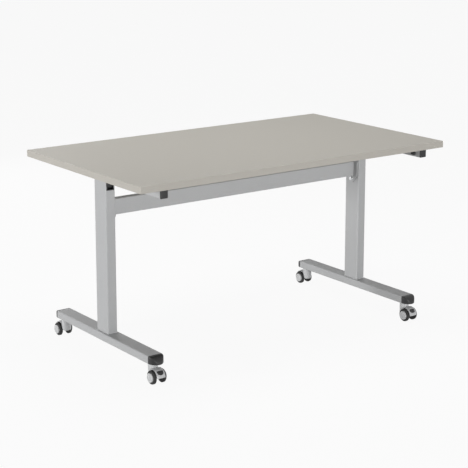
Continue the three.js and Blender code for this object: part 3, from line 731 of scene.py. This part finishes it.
for end, side in ENDS.items():
    centre, size = middle(f"beam_plate_{end}")
    half, tip = size.y / 2, PLATE_TIP / 2
    low_z, high_z = centre.z - size.z / 2, centre.z + size.z / 2
    beam_z = low_z + PLATE_DROP
    corners = [(-half, high_z), (-half, beam_z), (-tip, low_z), (tip, low_z), (half, beam_z), (half, high_z)]
    plate = bmesh.new()
    outline = plate.faces.new([plate.verts.new((y, z, 0)) for y, z in corners])
    raise_faces(plate, [outline], size.x)
    soften(plate, plate.edges, PLATE_SOFT, 2)
    stand = Matrix(((0, 0, 1, centre.x - size.x / 2), (1, 0, 0, 0), (0, 1, 0, 0), (0, 0, 0, 1)))
    bmesh.ops.transform(plate, matrix=stand, verts=plate.verts)
    make_piece(plate, f"end_plate_{end}", silver, "frame", [f"beam_plate_{end}"])

    low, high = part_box(f"beam_bolt_{end}")
    seat = centre.x - side * size.x / 2
    reach = abs((low.x if side > 0 else high.x) - seat)
    bolt = bmesh.new()
    soften(bolt, rims(disc(bolt, WASHER_ROUND, WASHER_THICK, sides=32)), WASHER_SOFT, 2)
    soften(bolt, rims(disc(bolt, (high.z - low.z) / 2, reach, sides=6)), HEAD_SOFT, 2)
    disc(bolt, SHANK_ROUND, reach - (high.x - low.x), sides=24)
    place(bolt, turn=90 if side < 0 else -90, axis="Y")
    place(bolt, (seat, (low.y + high.y) / 2, (low.z + high.z) / 2))
    make_piece(bolt, f"hex_bolt_{end}", zinc, "frame", [f"beam_bolt_{end}"])
print("plates and bolts, head reach", round(reach, 4))

# %% [markdown]
# Each castor swivels in the foot. Its housing is one grey moulding: a round neck that turns about the stem,
# a web between the wheels, and a hood that curves over them. The main sizes come from the joints: the trail
# is the distance between the swivel and roll axes, and the roll axis is one wheel radius above the floor.
# Arcs about the axle are in degrees, counted from straight back, so that 90 is the top of the wheel.

# %% Castor sizes
swivel_at = Vector(joint("castor_front_left_swivel")["pos_m"])
roll_at = Vector(joint("wheel_a_front_left_roll")["pos_m"])
TRAIL = swivel_at.y - roll_at.y
WHEEL = roll_at.z
WHEEL_GAP = 0.8 * MM
HOOD_THICK = 2.6 * MM
HOOD = WHEEL + WHEEL_GAP + HOOD_THICK
HOOD_HALF = 16.5 * MM
HOOD_BACK, HOOD_FRONT = 62, 177
HOOD_FALL = 1.4 * MM
LEVER_HALF = 12 * MM
LEVER_TOP, LEVER_SHOULDER, LEVER_END = 127, 137, 155
LEVER_LIFT = 10
LEVER_GAP = 0.6 * MM
KNUCKLE_ROUND = 2.2 * MM
WHEEL_IN = 16 * MM
WHEEL_OUT = 26 * MM
print("trail", round(TRAIL, 4), "wheel radius", round(WHEEL, 4))

# %% [markdown]
# The hood could be turned and then cut, but its window has a curved outline that is easiest to draw flat.
# So the hood and its brake pad start as flat sheets, as long as their arcs. A sheet is divided into narrow
# strips, and every vertex is then wrapped round the axle.

# %% Flat sheets wrapped round the axle
FALL_POWER = 4


def arc_length(degrees, radius=HOOD):
    return math.radians(degrees) * radius


def wrap(bm, fall=0.0):
    """Rolls a flat sheet about the axle: y is arc length from straight back, z is height above the hood."""
    for vert in bm.verts:
        angle = vert.co.y / HOOD
        radius = HOOD + vert.co.z - fall * (abs(vert.co.x) / HOOD_HALF) ** FALL_POWER
        vert.co.y = radius * math.cos(angle) - TRAIL
        vert.co.z = radius * math.sin(angle) + WHEEL


def pad_outline(half, start, tip, steps=28):
    """The brake pad's outline on the flat: straight from its hinge, with a tip that looks round in front."""
    shoulder = math.sin(math.radians(LEVER_SHOULDER))
    depth = shoulder - math.sin(math.radians(tip))
    points = [(half, start), (-half, start)]
    for step in range(steps + 1):
        turn = math.pi * (1 + step / steps)
        rise = shoulder + depth * math.sin(turn)
        points.append((half * math.cos(turn), HOOD * (math.pi - math.asin(rise))))
    return points


def loop(bm, points):
    verts = [bm.verts.new((x, y, 0)) for x, y in points]
    return [bm.edges.new(pair) for pair in zip(verts, verts[1:] + verts[:1])]


def divide(bm, axis, low, high, count):
    """Cuts a mesh into strips of even width along one axis."""
    normal = Vector((0, 0, 0))
    normal[axis] = 1
    for step in range(1, count):
        bmesh.ops.bisect_plane(
            bm, geom=[*bm.verts, *bm.edges, *bm.faces], dist=TOUCH,
            plane_co=normal * (low + (high - low) * step / count), plane_no=normal,
        )


print("length of the hood on the flat", round(arc_length(HOOD_FRONT - HOOD_BACK), 4))

# %% [markdown]
# The hood's sheet is filled between its outline and the window of the brake pad, wrapped with a slight fall
# towards the sides, and given its thickness inwards.

# %% Hood
HOOD_ROWS, HOOD_STRIPS = 44, 12
WINDOW_PAST = 2


def hood_shell():
    bm = bmesh.new()
    back, front = arc_length(HOOD_BACK), arc_length(HOOD_FRONT)
    outline = [(-HOOD_HALF, back), (HOOD_HALF, back), (HOOD_HALF, front), (-HOOD_HALF, front)]
    window_start = arc_length(LEVER_TOP) - KNUCKLE_ROUND - LEVER_GAP
    window = pad_outline(LEVER_HALF + LEVER_GAP, window_start, LEVER_END + WINDOW_PAST)
    bmesh.ops.triangle_fill(bm, use_beauty=True, edges=loop(bm, outline) + loop(bm, window))
    divide(bm, 1, back, front, HOOD_ROWS)
    divide(bm, 0, -HOOD_HALF, HOOD_HALF, HOOD_STRIPS)
    wrap(bm, HOOD_FALL)
    bmesh.ops.recalc_face_normals(bm, faces=bm.faces)
    if sum(f.normal.dot(f.calc_center_median() - Vector((0, -TRAIL, WHEEL))) for f in bm.faces) < 0:
        bmesh.ops.reverse_faces(bm, faces=bm.faces)
    bmesh.ops.solidify(bm, geom=bm.faces[:], thickness=-HOOD_THICK)
    return bm


print("faces of the hood", count_faces(hood_shell()))

# %% [markdown]
# Neck, axle and wheels are turned: half of the outline is drawn with a few points and arcs and spun about
# an axis. Where one round body has to be cut out of another, the Boolean modifier does it, on two passing
# objects.

# %% Turned shapes and carving
ROD_SOFT = 0.4 * MM


def arc(centre, reach, first, last, steps):
    """Points along part of a circle or an ellipse, from one angle to another in degrees."""
    for step in range(steps + 1):
        angle = math.radians(first + (last - first) * step / steps)
        yield centre[0] + reach[0] * math.cos(angle), centre[1] + reach[1] * math.sin(angle)


def turned(bm, outline, axis, centre, sides=64):
    """Spins an open outline of points a full turn about an axis."""
    verts = [bm.verts.new(point) for point in outline]
    edges = [bm.edges.new(pair) for pair in zip(verts, verts[1:])]
    bmesh.ops.spin(
        bm, geom=[*verts, *edges], cent=centre, axis=axis, angle=math.tau, steps=sides, use_merge=True,
    )


def rod(bm, radius, half, centre, sides=32, soft=ROD_SOFT):
    """A round bar along X with softened ends."""
    outline = [
        (-half, 0, 0), (-half, 0, radius - soft), (-half + soft, 0, radius),
        (half - soft, 0, radius), (half, 0, radius - soft), (half, 0, 0),
    ]
    points = [Vector(p) + Vector(centre) for p in outline]
    turned(bm, points, (1, 0, 0), centre, sides)


def carve(bm, cutter):
    """Takes one closed body out of another with the Boolean modifier."""
    stand_ins = []
    for source in (bm, cutter):
        bmesh.ops.remove_doubles(source, verts=source.verts, dist=MERGE)
        bmesh.ops.recalc_face_normals(source, faces=source.faces)
        mesh = bpy.data.meshes.new("carving")
        source.to_mesh(mesh)
        source.free()
        stand_in = bpy.data.objects.new("carving", mesh)
        bpy.context.scene.collection.objects.link(stand_in)
        stand_ins.append(stand_in)
    change = stand_ins[0].modifiers.new("pockets", "BOOLEAN")
    change.operation = "DIFFERENCE"
    change.solver = "EXACT"
    change.object = stand_ins[1]
    carved = bmesh.new()
    carved.from_object(stand_ins[0], bpy.context.evaluated_depsgraph_get())
    for stand_in in stand_ins:
        bpy.data.meshes.remove(stand_in.data)
    return carved


trial = bmesh.new()
rod(trial, 3 * MM, 30 * MM, (0, 0, 0))
print("faces of a rod", count_faces(trial))

# %% [markdown]
# The neck turns about the swivel axis and carries the stem. The wheels run partly inside its lower end, so
# two round pockets are cut out of it, on both sides of the web.

# %% Neck and stem
NECK_ROUND = 18 * MM
NECK_BOTTOM = 24 * MM
NECK_TOE, NECK_HEEL = 5 * MM, 6 * MM
NECK_RIM = 1.2 * MM
GROOVE_DROP = 5.5 * MM
GROOVE_DEEP = 0.5 * MM
STEM_ROUND = 6 * MM
STEM_SOFT = 1 * MM
WEB_HALF = 6 * MM
POCKET_PAST = 2 * MM


def castor_neck(top, stem_top):
    groove = top - GROOVE_DROP
    neck = [
        (0, NECK_BOTTOM),
        *arc((NECK_ROUND - NECK_TOE, NECK_BOTTOM + NECK_HEEL), (NECK_TOE, NECK_HEEL), -90, 0, 6),
        (NECK_ROUND, groove - GROOVE_DEEP), (NECK_ROUND - GROOVE_DEEP, groove),
        (NECK_ROUND - GROOVE_DEEP, groove + GROOVE_DEEP), (NECK_ROUND, groove + 2 * GROOVE_DEEP),
        *arc((NECK_ROUND - NECK_RIM, top - NECK_RIM), (NECK_RIM, NECK_RIM), 0, 90, 3),
        (STEM_ROUND, top), (STEM_ROUND, stem_top - STEM_SOFT),
        (STEM_ROUND - STEM_SOFT, stem_top), (0, stem_top),
    ]
    bm = bmesh.new()
    turned(bm, [(r, 0, z) for r, z in neck], (0, 0, 1), (0, 0, 0))
    pockets = bmesh.new()
    half = (NECK_ROUND + POCKET_PAST - WEB_HALF) / 2
    for side in (-1, 1):
        rod(pockets, WHEEL + WHEEL_GAP, half, (side * (WEB_HALF + half), -TRAIL, WHEEL), sides=96)
    return carve(bm, pockets)


print("neck radius", round(NECK_ROUND, 4))

# %% [markdown]
# The web is a flat outline raised to its width: it follows the hood, dips under the brake pad, and ends
# round the axle in a boss. Neck, hood, web, boss and axle together make the housing.

# %% Web, axle and the whole housing
AXLE_ROUND = 3 * MM
AXLE_HALF = 30 * MM
BOSS_ROUND = 8 * MM
BOSS_START, BOSS_STOP = 200, 300
WEB_BACK = 2 * MM
WEB_LIFT = 1 * MM
WEB_START, WEB_STOP = HOOD_BACK + 4, HOOD_FRONT - 3
DIP_START, DIP_STOP = LEVER_TOP - 8, LEVER_END + 4
PAD_ROOM = 1.6 * MM


def castor_web(bm):
    def about_axle(radius, first, last, steps):
        return arc((-TRAIL, WHEEL), (radius, radius), first, last, steps)

    in_hood, under_pad = HOOD - HOOD_THICK / 2, WHEEL - PAD_ROOM
    outline = [
        *about_axle(in_hood, WEB_START, DIP_START, 12), *about_axle(under_pad, DIP_START, DIP_STOP, 12),
        *about_axle(in_hood, DIP_STOP, WEB_STOP, 6), *about_axle(BOSS_ROUND, BOSS_START, BOSS_STOP, 10),
        (-WEB_BACK, NECK_BOTTOM + WEB_LIFT),
    ]
    face = bm.faces.new([bm.verts.new((-WEB_HALF, y, z)) for y, z in outline])
    grown = bmesh.ops.extrude_face_region(bm, geom=[face])["geom"]
    bmesh.ops.translate(bm, vec=(2 * WEB_HALF, 0, 0), verts=only(VERT, grown))


def join(bm, other):
    """Adds one bmesh to another by way of a passing mesh."""
    passing = bpy.data.meshes.new("passing")
    other.to_mesh(passing)
    other.free()
    bm.from_mesh(passing)
    bpy.data.meshes.remove(passing)


def castor_housing(top, stem_top):
    bm = castor_neck(top, stem_top)
    join(bm, hood_shell())
    castor_web(bm)
    rod(bm, BOSS_ROUND, WHEEL_IN - WHEEL_GAP, (0, -TRAIL, WHEEL))
    rod(bm, AXLE_ROUND, AXLE_HALF, (0, -TRAIL, WHEEL), sides=24)
    return bm


print("web width", round(2 * WEB_HALF, 4))

# %% [markdown]
# The brake lever is a black pad set in the hood's window. It hinges at its top on a thin pin and stands a
# little proud when the wheel is free. It starts as a flat pad with the outline of the window, a little
# smaller, is divided along its length, wrapped like the hood, and lifted about its hinge.

# %% Brake lever
LEVER_THICK = 2.2 * MM
LEVER_SOFT = 0.7 * MM
LEVER_ROWS = 14
PIN_ROUND = 0.8 * MM
PIN_PAST = 2.5 * MM
PIN_SOFT = 0.2 * MM


def brake_lever():
    bm = bmesh.new()
    start, stop = arc_length(LEVER_TOP), arc_length(LEVER_END)
    bm.faces.new([bm.verts.new((x, y, -LEVER_THICK)) for x, y in pad_outline(LEVER_HALF, start, LEVER_END)])
    top = raise_faces(bm, bm.faces[:], LEVER_THICK)
    bmesh.ops.recalc_face_normals(bm, faces=bm.faces)
    soften(bm, rims(top), LEVER_SOFT, 3)
    divide(bm, 1, start, stop, LEVER_ROWS)
    wrap(bm)
    angle, radius = math.radians(LEVER_TOP), HOOD - HOOD_THICK / 2
    hinge = Vector((0, radius * math.cos(angle) - TRAIL, radius * math.sin(angle) + WHEEL))
    rod(bm, KNUCKLE_ROUND, LEVER_HALF, hinge, sides=24)
    rod(bm, PIN_ROUND, LEVER_HALF + PIN_PAST, hinge, sides=16, soft=PIN_SOFT)
    bmesh.ops.rotate(
        bm, cent=hinge, matrix=Matrix.Rotation(math.radians(-LEVER_LIFT), 3, "X"), verts=bm.verts,
    )
    return bm


print("faces of a brake lever", count_faces(brake_lever()))

# %% [markdown]
# A wheel is a black moulding with a soft tread, and a grey disc pressed into its outer face. Both are
# turned about the axle. The disc is a shallow dome with a fine groove and a round shoulder, and stands
# proud of the wheel: the dome falls with the square of the distance from the axle, which is close to a
# sphere and easy to work out.

# %% Wheel discs
WHEEL_WALL = 3 * MM
DISC_ROUND = 17 * MM
DISC_PROUD = 6.5 * MM
DISC_SHOULDER = 2.2 * MM
DISC_SOFT = 0.5 * MM
DISC_SEAT = 0.2 * MM
DOME = 4.2
RING_ROUND = 8.4 * MM
RING_SLOPE = 0.4 * MM
RING_DEEP = 0.5 * MM
AXLE_COVER = 1.9 * MM
AXLE_PLAY = 0.3 * MM


def disc_face():
    def on_dome(radius, depth=0.0):
        return face - DOME * radius ** 2 - depth, radius

    bm = bmesh.new()
    face = WHEEL_OUT + DISC_PROUD
    back = WHEEL_IN + WHEEL_WALL + DISC_SEAT
    bore = AXLE_ROUND + AXLE_PLAY
    shoulder = DISC_ROUND - DISC_SHOULDER
    dome_edge, _ = on_dome(shoulder)
    outline = [
        *(on_dome(RING_ROUND * step / 4) for step in range(5)),
        on_dome(RING_ROUND + RING_SLOPE, RING_DEEP), on_dome(RING_ROUND + 2 * RING_SLOPE, RING_DEEP),
        on_dome(RING_ROUND + 3 * RING_SLOPE), on_dome((RING_ROUND + shoulder) / 2),
        *arc((dome_edge - DISC_SHOULDER, shoulder), (DISC_SHOULDER, DISC_SHOULDER), 0, 90, 6),
        (back + DISC_SOFT, DISC_ROUND), (back, DISC_ROUND - DISC_SOFT), (back, bore),
        (face - AXLE_COVER, bore), (face - AXLE_COVER, 0),
    ]
    turned(bm, [(x, 0, r) for x, r in outline], (1, 0, 0), (0, 0, 0))
    return bm


print("faces of a wheel disc", count_faces(disc_face()))

# %% [markdown]
# The tyre's outline is a closed loop with an inner wall behind the disc. Each corner is rounded by a vertex
# bevel while the outline is still one flat face, and the outer shoulder of the tread is the roundest. The
# face is then deleted and its edges are spun a full turn about the axle.

# %% Tyres
DISC_FIT = 0.1 * MM
TREAD_SHOULDER = 3.5 * MM
TREAD_SOFT = 0.7 * MM
BORE_SOFT = 0.4 * MM
LIP_SOFT = 0.2 * MM
WALL_SOFT = 0.3 * MM
SHOULDER_ARCS, CORNER_ARCS = 12, 4
TREAD_SIDES = 72


def tread_ring():
    bm = bmesh.new()
    bore, seat, wall = AXLE_ROUND + AXLE_PLAY, DISC_ROUND + DISC_FIT, WHEEL_IN + WHEEL_WALL
    corners = {
        (WHEEL_IN, bore): BORE_SOFT, (WHEEL_IN, WHEEL): TREAD_SOFT, (WHEEL_OUT, WHEEL): TREAD_SHOULDER,
        (WHEEL_OUT, seat): LIP_SOFT, (wall, seat): WALL_SOFT, (wall, bore): WALL_SOFT,
    }
    verts = {point: bm.verts.new((point[0], 0, point[1])) for point in corners}
    bm.faces.new(verts.values())
    for point, radius in corners.items():
        arcs = SHOULDER_ARCS if radius == TREAD_SHOULDER else CORNER_ARCS
        soften(bm, [verts[point]], radius, arcs, "VERTICES")
    bmesh.ops.delete(bm, geom=bm.faces[:], context="FACES_ONLY")
    bmesh.ops.spin(
        bm, geom=[*bm.verts, *bm.edges], cent=(0, 0, 0), axis=(1, 0, 0), angle=math.tau, steps=TREAD_SIDES,
        use_merge=True,
    )
    return bm


print("faces of a tyre", count_faces(tread_ring()))

# %% [markdown]
# All four castors are alike, so one loop makes them. Each is modelled at the origin with its wheels
# trailing towards the front and moved under its foot; the rear ones are given half a turn, so that they
# trail outwards too. Wheel and disc are modelled for the right side, and turned round for the left one.

# %% Set the castors under the feet
NECK_PLAY = 0.3 * MM
WHEELS = {"a": 180, "b": 0}
WHEEL_PARTS = (
    (disc_face, castor_grey, "hub", "grey_plastic"), (tread_ring, tyre_rubber, "tyre", "soft_tyre"),
)
for end in ENDS:
    for where, way in PLACES.items():
        key = f"{where}_{end}"
        turn = 180 if way > 0 else 0
        swivel = Vector(joint(f"castor_{key}_swivel")["pos_m"])
        foot_at = Vector((swivel.x, swivel.y, 0))
        _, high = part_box(f"castor_body_{key}")
        neck_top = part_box(f"foot_{end}")[0].z - NECK_PLAY
        housing = castor_housing(neck_top, high.z)
        place(housing, foot_at, turn)
        make_piece(
            housing, f"castor_housing_{key}", castor_grey, f"castor_{key}",
            [f"castor_body_{key}"],
        )
        lever = brake_lever()
        place(lever, foot_at, turn)
        make_piece(
            lever, f"brake_pad_{key}", black_plastic, f"brake_{key}", [f"brake_lever_{key}"],
        )
        for which, facing in WHEELS.items():
            hub_at = Vector(joint(f"wheel_{which}_{key}_roll")["pos_m"])
            for shape, finish, node, slot in WHEEL_PARTS:
                part = shape()
                place(part, hub_at, facing + turn)
                make_piece(
                    part, f"{shape.__name__}_{which}_{key}", finish, f"wheel_{which}_{key}",
                    [f"wheel_{node}_{which}_{key}"],
                )
print("castors", len(ENDS) * len(PLACES), "the last at", neat(foot_at))

# %% [markdown]
# What stays of the solids are the inner pieces of the tilting joint: lug, block, pin, keeper, slide bolt
# and its guide. Their shapes are right as they are, so they only take a finish.

# %% Finish the pieces of the tilting joint
KEPT = {
    "hinge_lug": black_steel, "pivot_block": black_plastic, "pivot_pin": zinc, "latch_keeper": zinc,
    "latch_bolt": zinc, "latch_guide": black_plastic,
}
for node, finish in KEPT.items():
    for end in ENDS:
        mesh = frame["nodes"][f"{node}_{end}"].data
        mesh.materials.clear()
        mesh.materials.append(finish)
print("kept solids", len(KEPT) * len(ENDS))

# %% [markdown]
# Each bearer is held to the board by screws driven up through its underside. A screw head is a low dome
# with a round drive recess: a disc, bevelled at its rim, whose face is inset twice and pushed in. The
# screws of a bearer never move apart, so they make one piece.

# %% Screws under the bearers
SCREW_ROUND = 4.5 * MM
SCREW_RISE = 2.2 * MM
SCREW_SOFT = 1.4 * MM
SCREW_SIDES = 28
RECESS_RIM = 0.9 * MM
RECESS_SLOPE = 0.15 * MM
RECESS_DEEP = 1.2 * MM
SCREW_PLACES = (-0.29, -0.13, 0.16, 0.31)


def screw_head():
    bm = bmesh.new()
    soften(bm, rims(disc(bm, SCREW_ROUND, -SCREW_RISE, SCREW_SIDES)), SCREW_SOFT, 4)
    bm.normal_update()
    face = min((f for f in bm.faces if len(f.verts) == SCREW_SIDES), key=lambda f: f.calc_center_median().z)
    for thickness in (RECESS_RIM, RECESS_SLOPE):
        bmesh.ops.inset_region(bm, faces=[face], thickness=thickness)
    bmesh.ops.translate(bm, vec=(0, 0, RECESS_DEEP), verts=face.verts)
    return bm


for end in ENDS:
    low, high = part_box(f"bearer_{end}")
    screws = bmesh.new()
    for along in SCREW_PLACES:
        screw = screw_head()
        place(screw, ((low.x + high.x) / 2, along, low.z))
        join(screws, screw)
    make_piece(screws, f"bearer_screws_{end}", zinc, "top")
print("screws", len(ENDS) * len(SCREW_PLACES))

# %% [markdown]
# The stage is a wide pale floor under a white surround. To the camera and in reflections the floor is
# mostly plain white with only a hint of shadow; all other rays see a matt pale floor that throws light back
# up under the table. The Light Path node tells these rays apart.

# %% Floor
FLOOR_HALF = 30.0
FLOOR_WHITE = 0.8
WHITE_SHARE = 0.93


def seen_directly(nodes, links):
    """1 for rays that show the background itself: camera, glossy and transmission rays."""
    ray = nodes.new("ShaderNodeLightPath")
    total = ray.outputs["Is Camera Ray"]
    for kind in ("Is Glossy Ray", "Is Transmission Ray"):
        either = nodes.new("ShaderNodeMath")
        either.operation = "MAXIMUM"
        links.new(total, either.inputs[0])
        links.new(ray.outputs[kind], either.inputs[1])
        total = either.outputs[0]
    return total


def floor_finish():
    material, tree, shader = start_finish("pale_floor")
    shader.inputs["Base Color"].default_value = (FLOOR_WHITE, FLOOR_WHITE, FLOOR_WHITE, 1)
    shader.inputs["Roughness"].default_value = 0.9
    shader.inputs["Specular IOR Level"].default_value = 0.0
    white = tree.nodes.new("ShaderNodeEmission")
    share = tree.nodes.new("ShaderNodeMath")
    share.operation = "MULTIPLY"
    share.inputs[1].default_value = WHITE_SHARE
    mix = tree.nodes.new("ShaderNodeMixShader")
    tree.links.new(seen_directly(tree.nodes, tree.links), share.inputs[0])
    tree.links.new(share.outputs[0], mix.inputs["Fac"])
    tree.links.new(shader.outputs["BSDF"], mix.inputs[1])
    tree.links.new(white.outputs["Emission"], mix.inputs[2])
    tree.links.new(mix.outputs["Shader"], tree.nodes["Material Output"].inputs["Surface"])
    return material


floor_mesh = bmesh.new()
bmesh.ops.create_grid(floor_mesh, x_segments=1, y_segments=1, size=FLOOR_HALF)
floor_data = bpy.data.meshes.new("floor")
floor_mesh.to_mesh(floor_data)
floor_mesh.free()
floor_data.materials.append(floor_finish())
floor = bpy.data.objects.new("floor", floor_data)
bpy.context.scene.collection.objects.link(floor)
floor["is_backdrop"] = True
print("floor", 2 * FLOOR_HALF, "m wide")

# %% [markdown]
# The surround is white where it is seen, and much dimmer as a source of light, so that the softboxes shape
# the table and the surround only fills the shadows.

# %% Surround
SURROUND = 0.14
world = bpy.data.worlds.new("white_surround")
world.use_nodes = True
bpy.context.scene.world = world
nodes, links = world.node_tree.nodes, world.node_tree.links
level = nodes.new("ShaderNodeMapRange")
level.inputs["To Min"].default_value = SURROUND
level.inputs["To Max"].default_value = 1.0
links.new(seen_directly(nodes, links), level.inputs["Value"])
links.new(level.outputs["Result"], nodes["Background"].inputs["Strength"])
nodes["Background"].inputs["Color"].default_value = (1, 1, 1, 1)
print("surround", SURROUND, "as light")

# %% [markdown]
# Five softboxes light the table. The strongest stands far to the left, as the bright left sides show: from
# far away it reaches both legs almost evenly. A weaker one on the right keeps the far sides from going
# dark. A low one in front lights the upright faces and leaves the tops of the feet darker, one hangs over
# the board, and a faint one behind lifts the rear ends of the feet. Each is given as place, aim, width in
# metres and power in watts.

# %% Light
def softbox(name, place_at, aim, size, power):
    data = bpy.data.lights.new(name, "AREA")
    data.shape = "SQUARE"
    data.size = size
    data.energy = power
    lamp = bpy.data.objects.new(name, data)
    lamp.location = place_at
    lamp.rotation_euler = (Vector(aim) - Vector(place_at)).to_track_quat("-Z", "Y").to_euler()
    lamp.visible_camera = False
    bpy.context.scene.collection.objects.link(lamp)


softbox("left_softbox", (-11.0, 2.5, 1.75), (0, 0, 0.4), 2.4, 765)
softbox("right_softbox", (11.0, 1.5, 0.75), (0, 0, 0.5), 1.3, 200)
softbox("front_softbox", (0, -8.0, 0.6), (0, 0, 0.4), 1.2, 285)
softbox("rear_softbox", (0, 3.2, 1.4), (0, 0, 0.2), 2.0, 17)
softbox("top_softbox", (0, 0, 3.2), (0, 0, 0), 1.6, 36)
print("softboxes", len(bpy.data.lights))

# %% [markdown]
# The camera is in front, to the left and above the board, as in the photograph. Its angles are in degrees,
# to the right of straight ahead and downwards. A small downward lens shift keeps the legs nearly upright,
# as they are there.

# %% Camera
CAMERA_AT = (-3.108, -4.220, 1.739)
CAMERA_YAW = 36.18
CAMERA_DROP = 11.66
LENS = 106.8
SENSOR = 36.0
LENS_SHIFT = -0.15

camera_data = bpy.data.cameras.new("camera")
camera_data.lens = LENS
camera_data.sensor_width = SENSOR
camera_data.shift_y = LENS_SHIFT
camera = bpy.data.objects.new("camera", camera_data)
camera.location = CAMERA_AT
camera.rotation_euler = (math.radians(90 - CAMERA_DROP), 0, math.radians(-CAMERA_YAW))
bpy.context.scene.collection.objects.link(camera)
bpy.context.scene.camera = camera
bpy.context.scene.view_settings.view_transform = "Standard"
print("camera at", CAMERA_AT, "lens", LENS)

# %% [markdown]
# The last cell prints the box of the dressed table.

# %% The box of the dressed table
low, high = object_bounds()
print("dressed box", neat(low), neat(high))
